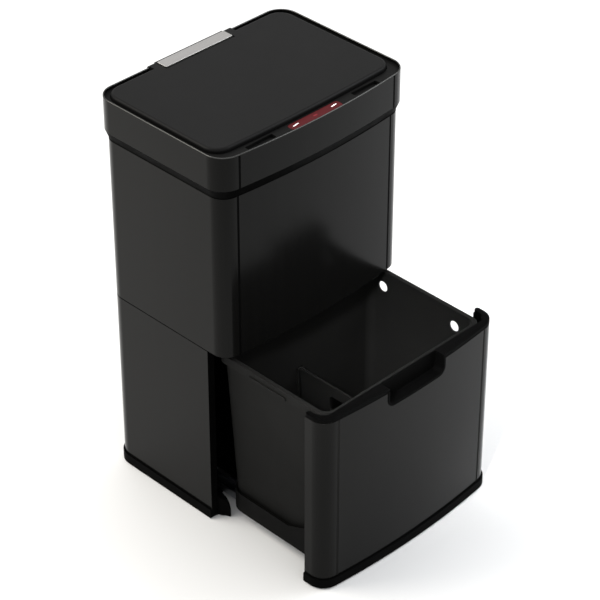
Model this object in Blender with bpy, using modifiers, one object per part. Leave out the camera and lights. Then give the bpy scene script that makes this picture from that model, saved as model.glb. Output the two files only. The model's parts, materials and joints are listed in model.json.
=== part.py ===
"""A two-tier waste bin: a sensor lid over an upper bucket, and a recycling drawer below, pulled out.

Cabinet coordinates: x to the right, y to the back, z up from the underside of the base skirt, and y = 0
midway between the middle of the bowed front and the back. The pieces are drawn with the drawer closed,
and the drawer is pulled out at the end.
"""

import math

import bmesh
import bpy
from mathutils import Matrix

OBJECT_NAME = "sensor_waste_bin"

# Driving dimensions, in metres.
HALF_WIDTH = 0.2040
HALF_DEPTH = 0.1479
BOW_HEIGHT = 0.0132
FRONT_RADIUS = 0.0300
REAR_RADIUS = 0.0295
FOOT_HEIGHT = 0.0020
SKIRT_TOP = 0.0183
SEAM = 0.3542
BODY_TOP = 0.6600
RING_BOTTOM = 0.6776
RING_TOP = 0.7392
OPENING_Y = -0.0930
DRAWER_PULL = 0.2233
PROUD_SKIRT = 0.0030
PROUD_RING = 0.0060
SHEET = 0.0012
GAP = 0.0003

# The lid, its hinge and the block that carries it.
LID_BOTTOM = 0.7297
LID_TOP = 0.7407
LID_HALF = 0.1983
LID_FRONT = -0.1235
LID_REAR = 0.1445
LID_BOW_RADIUS = 3.66
LID_CORNER = 0.030
HINGE_Y = 0.1520
HINGE_Z = 0.7340
KNUCKLE_RADIUS = 0.0069
PIN_RADIUS = 0.0020
BORE_RADIUS = 0.0021
BLOCK_HALF = 0.0757
BLOCK_FRONT = 0.1281
BLOCK_REAR = 0.1585
BLOCK_BOTTOM = 0.6900
BLOCK_TOP = 0.7394
SHOULDER_HALF = 0.0910
SHOULDER_TOP = 0.7263
PANEL_TOP = 0.7328
LEDGE = (0.7220, 0.7260)

# The recycling bin, the tray that it stands in, and the runners under the tray.
BIN_FRONT = -0.1227
BIN_REAR = 0.1310
BIN_RIM_HALF = 0.1845
BIN_TOP = 0.3450
BIN_SKIRT = 0.3280
BIN_BOTTOM = 0.0264
BIN_WALL = 0.0025
RIM_WIDTH = 0.0063
RIM_CORNER = 0.0200
TAPER = 0.0400
TRAY_HALF = 0.1765
TRAY_REAR = 0.1172
TRAY_FLOOR = (0.0225, 0.0260)
RUNNER_X = 0.1340
RUNNER_FRONT = -0.1080
DIVIDER_X = -0.0050
DIVIDER_TOP = 0.2245

# Battery door, switch and cells in the hinge block.
DOOR_AXIS_Y = 0.1577
DOOR_AXIS_Z = 0.6985
DOOR_LEFT = -0.0795
DOOR_RIGHT = 0.0195
TRUNNION_RADIUS = 0.00045
CELL_RADIUS = 0.0071
CELL_LENGTH = 0.0503

CORNER_STEPS = 7
BOW_STEPS = 12
BOW_RADIUS = (HALF_WIDTH**2 + BOW_HEIGHT**2) / (2 * BOW_HEIGHT)

# Colour, metallic value and roughness of each material.
FINISHES = {
    "dark_steel": ((0.060, 0.058, 0.055), 1.0, 0.32),
    "black_plastic": ((0.016, 0.016, 0.016), 0.0, 0.45),
    "grey_plastic": ((0.055, 0.055, 0.058), 0.0, 0.50),
    "bin_plastic": ((0.030, 0.030, 0.029), 0.0, 0.50),
    "silver": ((0.62, 0.61, 0.59), 1.0, 0.35),
    "bare_steel": ((0.50, 0.51, 0.52), 1.0, 0.30),
    "red_lens": ((0.22, 0.02, 0.03), 0.0, 0.12),
    "rubber": ((0.020, 0.020, 0.020), 0.0, 0.85),
    "cell_wrap": ((0.10, 0.12, 0.16), 0.2, 0.35),
    "circuit_green": ((0.02, 0.12, 0.05), 0.0, 0.45),
    "light_pipe": ((0.85, 0.86, 0.88), 0.0, 0.20),
}


# Scene, collections and materials.


def clear_scene():
    for old in list(bpy.data.objects):
        bpy.data.objects.remove(old, do_unlink=True)


def new_collection(name):
    collection = bpy.data.collections.new(name)
    bpy.context.scene.collection.children.link(collection)
    return collection


def finish(obj, name):
    """Gives the piece its own material."""
    colour, metallic, roughness = FINISHES[name]
    material = bpy.data.materials.new(obj.name + "_" + name)
    material.use_nodes = True
    shader = material.node_tree.nodes["Principled BSDF"]
    shader.inputs["Base Color"].default_value = (*colour, 1.0)
    shader.inputs["Metallic"].default_value = metallic
    shader.inputs["Roughness"].default_value = roughness
    obj.data.materials.clear()
    obj.data.materials.append(material)
    obj.data.shade_smooth()
    obj.data.set_sharp_from_angle(angle=math.radians(30))
    return obj


clear_scene()
PARTS = new_collection(OBJECT_NAME)
CUTTERS = new_collection(OBJECT_NAME + "_cutters")


# Outlines: lists of points in the plane, anticlockwise.


def arc(centre_u, centre_v, radius, start, end, steps):
    turns = [start + (end - start) * step / steps for step in range(steps + 1)]
    return [(centre_u + radius * math.cos(a), centre_v + radius * math.sin(a)) for a in turns]


def rounded(half, low, high, radius, steps=5):
    """A rectangle with round corners, from -half to half and from low to high."""
    u, v_low, v_high = half - radius, low + radius, high - radius
    right_angle = math.pi / 2
    points = arc(u, v_high, radius, 0, right_angle, steps)
    points += arc(-u, v_high, radius, right_angle, math.pi, steps)
    points += arc(-u, v_low, radius, math.pi, 3 * right_angle, steps)
    return points + arc(u, v_low, radius, 3 * right_angle, 4 * right_angle, steps)


def body_front(inset):
    """The bowed front of the body from its left side to its right side, moved in by inset."""
    centre_y = BOW_RADIUS - HALF_DEPTH
    corner_x = HALF_WIDTH - FRONT_RADIUS
    corner_y = centre_y - math.sqrt((BOW_RADIUS - FRONT_RADIUS) ** 2 - corner_x**2)
    tangent = math.atan2(corner_y - centre_y, corner_x)
    radius = FRONT_RADIUS - inset
    mirrored = -math.pi - tangent
    points = arc(-corner_x, corner_y, radius, -math.pi, mirrored, CORNER_STEPS)[:-1]
    points += arc(0, centre_y, BOW_RADIUS - inset, mirrored, tangent, BOW_STEPS)[:-1]
    return points + arc(corner_x, corner_y, radius, tangent, 0, CORNER_STEPS)


def body_rear(inset):
    """The back of the body from its right side to its left side, moved in by inset."""
    x, y = HALF_WIDTH - REAR_RADIUS, HALF_DEPTH - REAR_RADIUS
    points = arc(x, y, REAR_RADIUS - inset, 0, math.pi / 2, CORNER_STEPS)
    return points + arc(-x, y, REAR_RADIUS - inset, math.pi / 2, math.pi, CORNER_STEPS)


def body_outline(inset):
    return body_front(inset) + body_rear(inset)


def strip(path, outer, inner, end_y):
    """The wall between two insets of a path, cut off square at end_y."""
    outside, inside = path(outer), path(inner)
    side = math.copysign(1, outside[0][0])
    ends_out = [(side * (HALF_WIDTH - outer), end_y), (-side * (HALF_WIDTH - outer), end_y)]
    ends_in = [(-side * (HALF_WIDTH - inner), end_y), (side * (HALF_WIDTH - inner), end_y)]
    return [ends_out[0]] + outside + ends_out[1:] + [ends_in[0]] + inside[::-1] + ends_in[1:]


def lid_outline(inset, rear=LID_REAR):
    """The lid: a slightly bowed front, square sides and round corners."""
    half, bow, radius = LID_HALF - inset, LID_BOW_RADIUS - inset, LID_CORNER - inset
    front = LID_FRONT + inset
    centre_y = front + bow
    corner_x = half - radius
    corner_y = centre_y - math.sqrt((bow - radius) ** 2 - corner_x**2)
    tangent = math.atan2(corner_y - centre_y, corner_x)
    mirrored = -math.pi - tangent
    points = arc(-corner_x, corner_y, radius, -math.pi, mirrored, 5)[:-1]
    points += arc(0, centre_y, bow, mirrored, tangent, 6)[:-1]
    points += arc(corner_x, corner_y, radius, tangent, 0, 5)
    rear_y = rear - inset - radius
    points += arc(corner_x, rear_y, radius, 0, math.pi / 2, 5)
    return points + arc(-corner_x, rear_y, radius, math.pi / 2, math.pi, 5)


# Solids.


def to_object(name, bm):
    bmesh.ops.recalc_face_normals(bm, faces=bm.faces)
    if bm.calc_volume(signed=True) < 0:
        bmesh.ops.reverse_faces(bm, faces=bm.faces)
    mesh = bpy.data.meshes.new(name)
    bm.to_mesh(mesh)
    bm.free()
    obj = bpy.data.objects.new(name, mesh)
    PARTS.objects.link(obj)
    return obj


def prism(name, loops, low, high, axis="Z"):
    """A flat outline, with any further loops as holes in it, extruded along an axis from low to high.

    The outline's two coordinates are x, y along Z; y, z along X; and x, z along Y.
    """
    curve = bpy.data.curves.new(name, "CURVE")
    curve.dimensions = "2D"
    curve.fill_mode = "BOTH"
    curve.extrude = (high - low) / 2
    for loop in loops:
        spline = curve.splines.new("POLY")
        spline.points.add(len(loop) - 1)
        for point, (u, v) in zip(spline.points, loop):
            point.co = (u, v, 0, 1)
        spline.use_cyclic_u = True
    guide = bpy.data.objects.new(name + "_outline", curve)
    PARTS.objects.link(guide)
    graph = bpy.context.evaluated_depsgraph_get()
    mesh = bpy.data.meshes.new_from_object(guide.evaluated_get(graph))
    bpy.data.objects.remove(guide, do_unlink=True)
    bm = bmesh.new()
    bm.from_mesh(mesh)
    bmesh.ops.remove_doubles(bm, verts=bm.verts, dist=1e-6)
    bm.transform(Matrix.Translation((0, 0, (low + high) / 2)))
    turn = {
        "X": Matrix(((0, 0, 1), (1, 0, 0), (0, 1, 0))),
        "Y": Matrix(((1, 0, 0), (0, 0, 1), (0, 1, 0))),
        "Z": Matrix.Identity(3),
    }[axis]
    bm.transform(turn.to_4x4())
    return to_object(name, bm)


def box(name, x, y, z):
    bm = bmesh.new()
    size = Matrix.Diagonal((x[1] - x[0], y[1] - y[0], z[1] - z[0], 1))
    middle = Matrix.Translation(((x[0] + x[1]) / 2, (y[0] + y[1]) / 2, (z[0] + z[1]) / 2))
    bmesh.ops.create_cube(bm, size=1, matrix=middle @ size)
    return to_object(name, bm)


def cylinder(name, centre, radius, length, axis="Z", segments=20):
    """A cylinder whose middle is at centre."""
    turn = {
        "X": Matrix.Rotation(math.pi / 2, 4, "Y"),
        "Y": Matrix.Rotation(math.pi / 2, 4, "X"),
        "Z": Matrix.Identity(4),
    }[axis]
    bm = bmesh.new()
    bmesh.ops.create_cone(
        bm,
        cap_ends=True,
        segments=segments,
        radius1=radius,
        radius2=radius,
        depth=length,
        matrix=Matrix.Translation(centre) @ turn,
    )
    return to_object(name, bm)


def loft(name, rings):
    """Skins unlike sections with equal numbers of points, and closes both ends."""
    bm = bmesh.new()
    loops = [[bm.verts.new(point) for point in ring] for ring in rings]
    for lower, upper in zip(loops, loops[1:]):
        for i in range(len(lower)):
            bm.faces.new((lower[i - 1], lower[i], upper[i], upper[i - 1]))
    bm.faces.new(loops[0])
    bm.faces.new(loops[-1])
    return to_object(name, bm)


def bevel(obj, width, segments=2):
    modifier = obj.modifiers.new("edge", "BEVEL")
    modifier.width = width
    modifier.segments = segments
    modifier.limit_method = "ANGLE"
    modifier.angle_limit = math.radians(40)
    return obj


def combine(obj, operation, tools):
    for tool in tools:
        modifier = obj.modifiers.new(operation.lower(), "BOOLEAN")
        modifier.operation = operation
        modifier.object = tool
        PARTS.objects.unlink(tool)
        CUTTERS.objects.link(tool)
        tool.hide_render = True
        tool.display_type = "WIRE"
    return obj


def cut(obj, *tools):
    return combine(obj, "DIFFERENCE", tools)


def join(obj, *tools):
    return combine(obj, "UNION", tools)


def mirror_x(obj, name):
    """A mirrored copy on the other side of x = 0, with mirrored tools."""
    copy = bpy.data.objects.new(name, obj.data.copy())
    PARTS.objects.link(copy)
    bm = bmesh.new()
    bm.from_mesh(copy.data)
    bm.transform(Matrix.Diagonal((-1, 1, 1, 1)))
    bmesh.ops.reverse_faces(bm, faces=bm.faces)
    bm.to_mesh(copy.data)
    bm.free()
    for old in obj.modifiers:
        if old.type == "BEVEL":
            bevel(copy, old.width, old.segments)
        else:
            combine(copy, old.operation, [mirror_x(old.object, old.object.name + "_mirrored")])
    return copy


# The fixed cabinet.


def base_frame():
    """The moulded base: skirt, curb, side beams whose noses stand under the drawer, and a floor plate."""
    beam = 0.1785
    inner = [(-beam, OPENING_Y), (-beam, 0.132), (beam, 0.132), (beam, OPENING_Y)]
    skirt_edge = HALF_WIDTH + PROUD_SKIRT
    skirt = [(skirt_edge, OPENING_Y)] + body_rear(-PROUD_SKIRT) + [(-skirt_edge, OPENING_Y)]
    base = prism("base_frame", [skirt + inner], 0, SKIRT_TOP)
    curb_inset = SHEET + 2 * GAP
    curb_edge = HALF_WIDTH - curb_inset
    curb_y = OPENING_Y + 0.0002
    curb = [(curb_edge, curb_y)] + body_rear(curb_inset) + [(-curb_edge, curb_y)]
    inner_curb = [(-beam, curb_y), (-beam, 0.132), (beam, 0.132), (beam, curb_y)]
    join(base, prism("curb", [curb + inner_curb], SKIRT_TOP - 0.002, 0.0400))
    right = base_nose("nose_right")
    join(base, right, mirror_x(right, "nose_left"))
    floor = box("floor_plate", (-0.180, 0.180), (-0.060, 0.134), (0.0040, 0.0075))
    return finish(join(base, floor), "black_plastic")


def base_nose(name):
    """The front end of a side beam, narrowing to a blunt tip and falling away above it."""
    plan = [(0.1780, -0.0900), (0.1780, -0.1135), (0.1800, -0.1135)]
    plan += arc(0.1745, -0.0930, 0.0155, math.radians(-55), 0, 5) + [(0.1900, -0.0900)]
    nose = prism(name, [plan], 0, 0.0400)
    side = [(-0.0800, -0.0100), (-0.1200, -0.0100), (-0.1200, 0.0100), (-0.1130, 0.0180)]
    side += arc(-0.0900, 0.0180, 0.0220, math.pi * 0.98, math.pi / 2, 6) + [(-0.0800, 0.0400)]
    return combine(nose, "INTERSECT", [prism(name + "_side", [side], 0.17, 0.20, "X")])


def feet():
    made = []
    for depth, y in (("front", -0.085), ("rear", 0.118)):
        for side, x in (("left", -0.189), ("right", 0.189)):
            middle = (x, y, (-FOOT_HEIGHT - GAP) / 2)
            foot = cylinder(f"foot_{depth}_{side}", middle, 0.0085, FOOT_HEIGHT - GAP)
            made.append(finish(foot, "rubber"))
    return made


def lower_cabinet_shell():
    wall = strip(body_rear, 0, SHEET, OPENING_Y)
    return finish(prism("lower_cabinet_shell", [wall], SKIRT_TOP + GAP, SEAM - 0.0006), "dark_steel")


def opening_frame():
    """The plastic frame round the drawer opening: two jambs and a rail over them."""
    outer, inner, top = HALF_WIDTH - SHEET - 2 * GAP, 0.1893, SEAM - 0.0009
    outline = [(-outer, 0.0404), (-inner, 0.0404), (-inner, 0.3483), (inner, 0.3483)]
    outline += [(inner, 0.0404), (outer, 0.0404), (outer, top), (-outer, top)]
    frame = prism("opening_frame", [outline], OPENING_Y + 0.0002, -0.0800, "Y")
    return finish(frame, "black_plastic")


def mid_deck():
    """The deck that closes the lower cabinet and carries the upper shell and bucket."""
    inset = SHEET + 2 * GAP
    return finish(prism("mid_deck", [body_outline(inset)], SEAM + GAP, 0.3595), "black_plastic")


def upper_shell():
    loops = [body_outline(0), body_outline(SHEET)]
    return finish(prism("upper_shell", loops, SEAM, BODY_TOP), "dark_steel")


def upper_collar():
    """The recessed band between body and head; its flange carries the bucket's rim."""
    hole = rounded(0.1820, -0.1259, 0.1259, 0.030)
    collar = prism("upper_collar", [body_outline(0.0025), hole], BODY_TOP + GAP, RING_BOTTOM - GAP)
    lip_inset = SHEET + 2 * GAP
    lip = prism("collar_lip", [body_outline(lip_inset), body_outline(0.0040)], 0.6450, BODY_TOP - GAP)
    neck = prism("collar_neck", [body_outline(0.0026), body_outline(0.0040)], 0.6550, 0.6650)
    return finish(join(collar, lip, neck), "black_plastic")


def upper_bucket():
    """The lift-out bucket of the upper tier, hung by its rim on the collar."""
    wall, rim_bottom, rim_top = 0.0020, RING_BOTTOM, RING_BOTTOM + 0.0030
    sections = [
        (0.1680, 0.1115, 0.030, 0.3600),
        (0.1805, 0.1240, 0.030, rim_bottom),
        (0.1900, 0.1335, 0.036, rim_bottom),
        (0.1900, 0.1335, 0.036, rim_top),
        (0.1805 - wall, 0.1240 - wall, 0.028, rim_top),
        (0.1680 - wall, 0.1115 - wall, 0.028, 0.3625),
    ]
    rings = [
        [(x, y, z) for x, y in rounded(half, -depth, depth, radius)]
        for half, depth, radius, z in sections
    ]
    return finish(loft("upper_bucket", rings), "bin_plastic")


# Runners: three nested profiles under each side of the tray.


def channel(width, low, high, wall, lip):
    """A channel open at the top, with its two lips turned in."""
    half = width / 2
    left, right, floor = RUNNER_X - half, RUNNER_X + half, low + wall
    outline = [(left, low), (right, low), (right, high), (right - wall - lip, high)]
    outline += [(right - wall - lip, high - wall), (right - wall, high - wall), (right - wall, floor)]
    outline += [(left + wall, floor), (left + wall, high - wall), (left + wall + lip, high - wall)]
    return outline + [(left + wall + lip, high), (left, high)]


def runner_outer(name):
    outline = channel(0.0280, 0.0078, 0.0215, 0.0015, 0.0020)
    return prism(name, [outline], RUNNER_FRONT, 0.1310, "Y")


def runner_middle(name):
    outline = channel(0.0240, 0.0098, 0.0195, 0.0012, 0.0018)
    return prism(name, [outline], RUNNER_FRONT, 0.1310, "Y")


def runner_inner(name):
    """A rail with a wide foot held in the middle member and a neck that carries the tray."""
    foot, neck, top = 0.0102, 0.0070, TRAY_FLOOR[0] - GAP
    left, right = RUNNER_X - foot, RUNNER_X + foot
    outline = [(left, 0.0115), (right, 0.0115), (right, 0.0175), (RUNNER_X + neck, 0.0175)]
    outline += [(RUNNER_X + neck, top), (RUNNER_X - neck, top), (RUNNER_X - neck, 0.0175)]
    return prism(name, [outline + [(left, 0.0175)]], RUNNER_FRONT, 0.1050, "Y")


def both_sides(make, stem):
    right = make(stem + "_right")
    left = mirror_x(right, stem + "_left")
    return finish(left, "bare_steel"), finish(right, "bare_steel")


# The drawer, drawn closed.


def pocket_outline(half, bottom, radius, top):
    """The handle pocket seen from the front: straight sides and round lower corners."""
    outline = arc(-half + radius, bottom + radius, radius, math.pi, 1.5 * math.pi, 5)
    outline += arc(half - radius, bottom + radius, radius, 1.5 * math.pi, 2 * math.pi, 5)
    return outline + [(half, top), (-half, top)]


def drawer_front_panel():
    wall = strip(body_front, 0, SHEET, OPENING_Y - 0.0010)
    panel = prism("drawer_front_panel", [wall], SKIRT_TOP + GAP, 0.3434)
    gap_outline = pocket_outline(0.0698, 0.3097, 0.016, 0.36)
    return finish(cut(panel, prism("panel_pocket", [gap_outline], -0.16, -0.12, "Y")), "dark_steel")


def drawer_liner():
    wall = strip(body_front, SHEET + GAP, 0.0045, OPENING_Y - 0.0010)
    liner = prism("drawer_liner", [wall], SKIRT_TOP + 0.0007, 0.3433)
    gap_outline = pocket_outline(0.0701, 0.3094, 0.016, 0.36)
    return finish(cut(liner, prism("liner_pocket", [gap_outline], -0.16, -0.12, "Y")), "black_plastic")


def drawer_top_trim():
    """The cap of the drawer front: it wraps round the bin's rim, and holds the handle pocket."""
    end_y, inset, inner_y, radius = OPENING_Y - 0.0010, 0.0097, -0.1245, 0.0200
    inner_half = HALF_WIDTH - inset
    cap = [(-HALF_WIDTH, end_y)] + body_front(0) + [(HALF_WIDTH, end_y), (inner_half, end_y)]
    cap += arc(inner_half - radius, inner_y + radius, radius, 0, -math.pi / 2, 6)
    cap += arc(-inner_half + radius, inner_y + radius, radius, -math.pi / 2, -math.pi, 6)
    trim = bevel(prism("drawer_top_trim", [cap + [(-inner_half, end_y)]], 0.3437, 0.3510), 0.0008)
    outer = pocket_outline(0.0695, 0.3100, 0.0157, 0.3460)
    block = prism("pocket_block", [outer], -0.1550, -0.1248, "Y")
    combine(block, "INTERSECT", [prism("pocket_bow", [body_outline(-0.0010)], 0.3, 0.36)])
    hollow = pocket_outline(0.0643, 0.3152, 0.0105, 0.3600)
    lip = prism("trim_lip", [strip(body_front, 0.0048, inset, end_y)], 0.3250, 0.3445)
    join(trim, block, lip)
    return finish(cut(trim, prism("pocket_hollow", [hollow], -0.16, -0.1272, "Y")), "black_plastic")


def drawer_base_trim():
    wall = strip(body_front, -PROUD_SKIRT, 0.0045, OPENING_Y - 0.0010)
    return finish(bevel(prism("drawer_base_trim", [wall], 0, SKIRT_TOP), 0.0008), "black_plastic")


def tray_outline(inset):
    radius, bow = 0.030 - inset, BOW_RADIUS - 0.0048 - inset
    x, y = TRAY_HALF - 0.030, TRAY_REAR - 0.030
    half_sweep = math.asin(0.165 / bow)
    points = arc(0, BOW_RADIUS - HALF_DEPTH, bow, -math.pi / 2 - half_sweep, -math.pi / 2 + half_sweep, 8)
    points += [(TRAY_HALF - inset, -0.1240)]
    points += arc(x, y, radius, 0, math.pi / 2, 6)
    points += arc(-x, y, radius, math.pi / 2, math.pi, 6)
    return points + [(-TRAY_HALF + inset, -0.1240)]


def drawer_tray():
    """The open tray that carries the bin; its sides rise towards the drawer front."""
    wall, low, high = 0.0025, 0.0610, 0.0800
    levels = ((0, TRAY_FLOOR[0]), (0, high), (wall, high), (wall, TRAY_FLOOR[1]))
    rings = [[(x, y, z) for x, y in tray_outline(inset)] for inset, z in levels]
    tray = loft("drawer_tray", rings)
    above = [(0.20, low), (0.20, 0.20), (-0.071, 0.20), (-0.071, high), (-0.027, low)]
    return finish(cut(tray, prism("tray_top", [above], -0.19, 0.19, "X")), "black_plastic")


def bin_ring(wall_inset, z, radius):
    """A level section of the bin, wall_inset inside the rim's outer edge."""
    half, front, rear = BIN_RIM_HALF - wall_inset, BIN_FRONT + wall_inset, BIN_REAR - wall_inset
    return [(x, y, z) for x, y in rounded(half, front, rear, radius, 6)]


def bin_inset(z):
    """How far the bin's outer wall stands inside the rim at height z."""
    return RIM_WIDTH + TAPER * (BIN_SKIRT - z)


def recycling_bin():
    """The lift-out bin: tapered walls under a rim that turns out and down."""
    inner_floor, inner_corner = BIN_BOTTOM + BIN_WALL, RIM_CORNER - 0.0035
    lip = 0.0018
    rings = [
        bin_ring(bin_inset(BIN_BOTTOM), BIN_BOTTOM, RIM_CORNER - 0.0010),
        bin_ring(bin_inset(BIN_SKIRT), BIN_SKIRT, RIM_CORNER - 0.0010),
        bin_ring(RIM_WIDTH - 0.0006, BIN_TOP - lip, RIM_CORNER - 0.0010),
        bin_ring(lip, BIN_TOP - lip, RIM_CORNER - lip),
        bin_ring(lip, BIN_SKIRT, RIM_CORNER - lip),
        bin_ring(0, BIN_SKIRT, RIM_CORNER),
        bin_ring(0, BIN_TOP - 0.0015, RIM_CORNER),
        bin_ring(0.0015, BIN_TOP, RIM_CORNER - 0.0010),
        bin_ring(RIM_WIDTH + BIN_WALL - 0.0012, BIN_TOP, inner_corner),
        bin_ring(RIM_WIDTH + BIN_WALL, BIN_TOP - 0.0030, inner_corner),
        bin_ring(bin_inset(BIN_SKIRT) + BIN_WALL, BIN_SKIRT, inner_corner),
        bin_ring(bin_inset(inner_floor) + BIN_WALL, inner_floor, inner_corner),
    ]
    body = loft("recycling_bin", rings)
    for y in (0.0950, -0.0695):
        cut(body, cylinder("bag_hole", (0.178, y, 0.3130), 0.0100, 0.012, "X", 20))
    for x in (-0.0061, 0.0061):
        join(body, guide_rib("rib_rear", DIVIDER_X + x, True), guide_rib("rib_front", DIVIDER_X + x, False))
    return finish(body, "bin_plastic")


def inner_wall_y(z, rear):
    """Where the bin's inner face stands at height z, at the rear or at the front."""
    inset = bin_inset(z) + BIN_WALL
    return BIN_REAR - inset if rear else BIN_FRONT + inset


def guide_rib(name, x, rear):
    """One of the four ribs that hold the divider's ends."""
    depth = -0.0060 if rear else 0.0060
    root = 0.0010 if rear else -0.0010
    low, high = BIN_BOTTOM + 0.0012, DIVIDER_TOP
    foot, head = inner_wall_y(low, rear), inner_wall_y(high, rear)
    outline = [(foot + root, low), (head + root, high), (head + depth, high), (foot + depth, low)]
    return prism(name, [outline], x - 0.0015, x + 0.0015, "X")


def divider():
    """The plate that splits the bin in two, with a hand hole."""
    low, clear = BIN_BOTTOM + BIN_WALL + 0.0010, 0.0006
    rear_low, rear_high = (inner_wall_y(z, True) - clear for z in (low, DIVIDER_TOP))
    front_low, front_high = (inner_wall_y(z, False) + clear for z in (low, DIVIDER_TOP))
    outline = [(front_low, low), (rear_low, low), (rear_high, DIVIDER_TOP), (front_high, DIVIDER_TOP)]
    hole = [(y + 0.0040, z) for y, z in rounded(0.0390, 0.1720, 0.2040, 0.006, 4)]
    plate = prism("divider", [outline, hole], DIVIDER_X - 0.0022, DIVIDER_X + 0.0022, "X")
    return finish(plate, "bin_plastic")


def bin_grip(name):
    """A finger grip moulded as its own strip on the outside of the rim's skirt."""
    grip = box(name, (BIN_RIM_HALF + GAP, BIN_RIM_HALF + 0.0024), (-0.032, 0.053), (0.3285, 0.3355))
    return bevel(grip, 0.0008, 1)


# The head, which lifts off the collar.


def head_ring():
    """The steel band round the head, notched at the rear for the hinge block."""
    loops = [body_outline(-PROUD_RING), body_outline(-PROUD_RING + 0.0015)]
    ring = bevel(prism("head_ring", loops, RING_BOTTOM, RING_TOP), 0.0007, 1)
    return finish(cut(ring, block_clearance("ring_notch")), "dark_steel")


def block_clearance(name):
    half = SHOULDER_HALF + 0.0005
    return box(name, (-half, half), (BLOCK_FRONT - 0.0005, 0.1700), (BLOCK_BOTTOM - 0.0010, 0.7600))


def finger_slot(name):
    """One of the two recesses in the control strip."""
    outline = [(x + 0.1170, y) for x, y in rounded(0.0290, -0.1395, -0.1275, 0.002, 2)]
    return prism(name, [outline], 0.7275, 0.7400)


def head_frame():
    """The plastic top: seat, skirt, ledge round the chute, rim round the lid, and the control strip."""
    outer = body_outline(-0.0042)
    chute = rounded(0.1680, -0.0980, 0.1120, 0.030)
    frame = prism("head_frame", [outer, chute], *LEDGE)
    skirt = prism("head_skirt", [outer, body_outline(-0.0017)], 0.6780, LEDGE[0] + 0.0010)
    chute_wall = prism("chute_wall", [rounded(0.1700, -0.1, 0.114, 0.032), chute], 0.7020, 0.7230)
    rim = prism("head_rim", [outer, lid_outline(-0.0012)], LEDGE[1] - 0.0010, PANEL_TOP)
    seat = prism("head_seat", [body_outline(-0.0025), body_outline(0.0060)], RING_BOTTOM, 0.6860)
    join(frame, skirt, seat, chute_wall, rim)
    lens_seat = prism("lens_seat", [rounded(0.0566, -0.1456, -0.1274, 0.0063, 4)], 0.7297, 0.7400)
    window = box("sensor_window", (-0.0500, 0.0500), (-0.1405, -0.1325), (0.7100, 0.7350))
    slot = finger_slot("slot_right")
    cut(frame, block_clearance("frame_notch"), slot, mirror_x(slot, "slot_left"), lens_seat, window)
    return finish(frame, "grey_plastic")


def hinge_block():
    """The housing between the lid's knuckles: it holds the drive and the batteries."""
    depth = (BLOCK_FRONT, BLOCK_REAR)
    block = box("hinge_block", (-BLOCK_HALF, BLOCK_HALF), depth, (BLOCK_BOTTOM, BLOCK_TOP))
    shoulders = (-SHOULDER_HALF, SHOULDER_HALF)
    join(block, box("block_shoulders", shoulders, depth, (BLOCK_BOTTOM, SHOULDER_TOP)))
    inside = (BLOCK_FRONT + 0.0020, BLOCK_REAR - 0.0020)
    low = BLOCK_BOTTOM - 0.0050
    cut(block, box("block_cavity", (-0.0885, 0.0885), inside, (low, SHOULDER_TOP - 0.0020)))
    cut(block, box("drive_cavity", (-0.0732, 0.0732), inside, (low, BLOCK_TOP - 0.0020)))
    opening = (DOOR_LEFT - 0.0005, DOOR_RIGHT + 0.0005)
    cut(block, box("door_opening", opening, (0.1540, 0.1700), (0.6970, 0.7230)))
    trunnions = ((DOOR_LEFT + DOOR_RIGHT) / 2, DOOR_AXIS_Y, DOOR_AXIS_Z)
    sockets_length = DOOR_RIGHT - DOOR_LEFT + 0.0034
    cut(block, cylinder("sockets", trunnions, TRUNNION_RADIUS + 0.0001, sockets_length, "X", 12))
    cut(block, box("switch_slot", (0.0460, 0.0600), (0.1540, 0.1700), (0.7040, 0.7120)))
    for name, x in (("bore_left", -0.0745), ("bore_right", 0.0745)):
        cut(block, cylinder(name, (x, HINGE_Y, HINGE_Z), BORE_RADIUS, 0.006, "X", 16))
    return finish(block, "grey_plastic")


def block_cover():
    cover = box("block_cover", (-0.0882, 0.0882), (0.1304, 0.1562), (0.6903, 0.6921))
    return finish(cover, "black_plastic")


def cover_screws():
    made = []
    for index, x in enumerate((-0.0855, 0.0855)):
        screw = cylinder(f"cover_screw_{index + 1}", (x, 0.1433, 0.6891), 0.0022, 0.0018, "Z", 12)
        made.append(finish(screw, "bare_steel"))
    return made


def hinge_plate():
    """The silver plate on the block, with slightly rounded front corners."""
    outline = rounded(0.0750, BLOCK_FRONT, 0.2, 0.003)
    front = [(x, y) for x, y in outline if y < 0.15]
    plate = [(0.0750, 0.1540)] + [(-0.0750, 0.1540)] + front
    return finish(bevel(prism("hinge_plate", [plate], BLOCK_TOP + GAP, 0.7409), 0.0004, 1), "silver")


def gear_motor():
    """The lid drive: a motor beside a gearbox whose bore holds the drive shaft."""
    can = cylinder("gear_motor", (0.0440, 0.1430, 0.7100), 0.0098, 0.0360, "X", 20)
    join(can, box("gearbox", (0.0605, 0.0700), (0.1325, 0.1560), (0.6995, 0.7370)))
    shaft = (0.0650, HINGE_Y, HINGE_Z)
    return finish(cut(can, cylinder("gearbox_bore", shaft, BORE_RADIUS, 0.02, "X", 16)), "black_plastic")


def hinge_pin():
    pin = cylinder("hinge_pin", (-0.0795, HINGE_Y, HINGE_Z), PIN_RADIUS, 0.0170, "X", 16)
    return finish(pin, "bare_steel")


def battery_box():
    tray = box("battery_box", (-0.0815, 0.0215), (0.1304, 0.1552), (0.6925, 0.7238))
    cut(tray, box("cell_bay", (-0.0807, 0.0207), (0.1316, 0.1700), (0.6933, 0.7230)))
    return finish(tray, "black_plastic")


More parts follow.
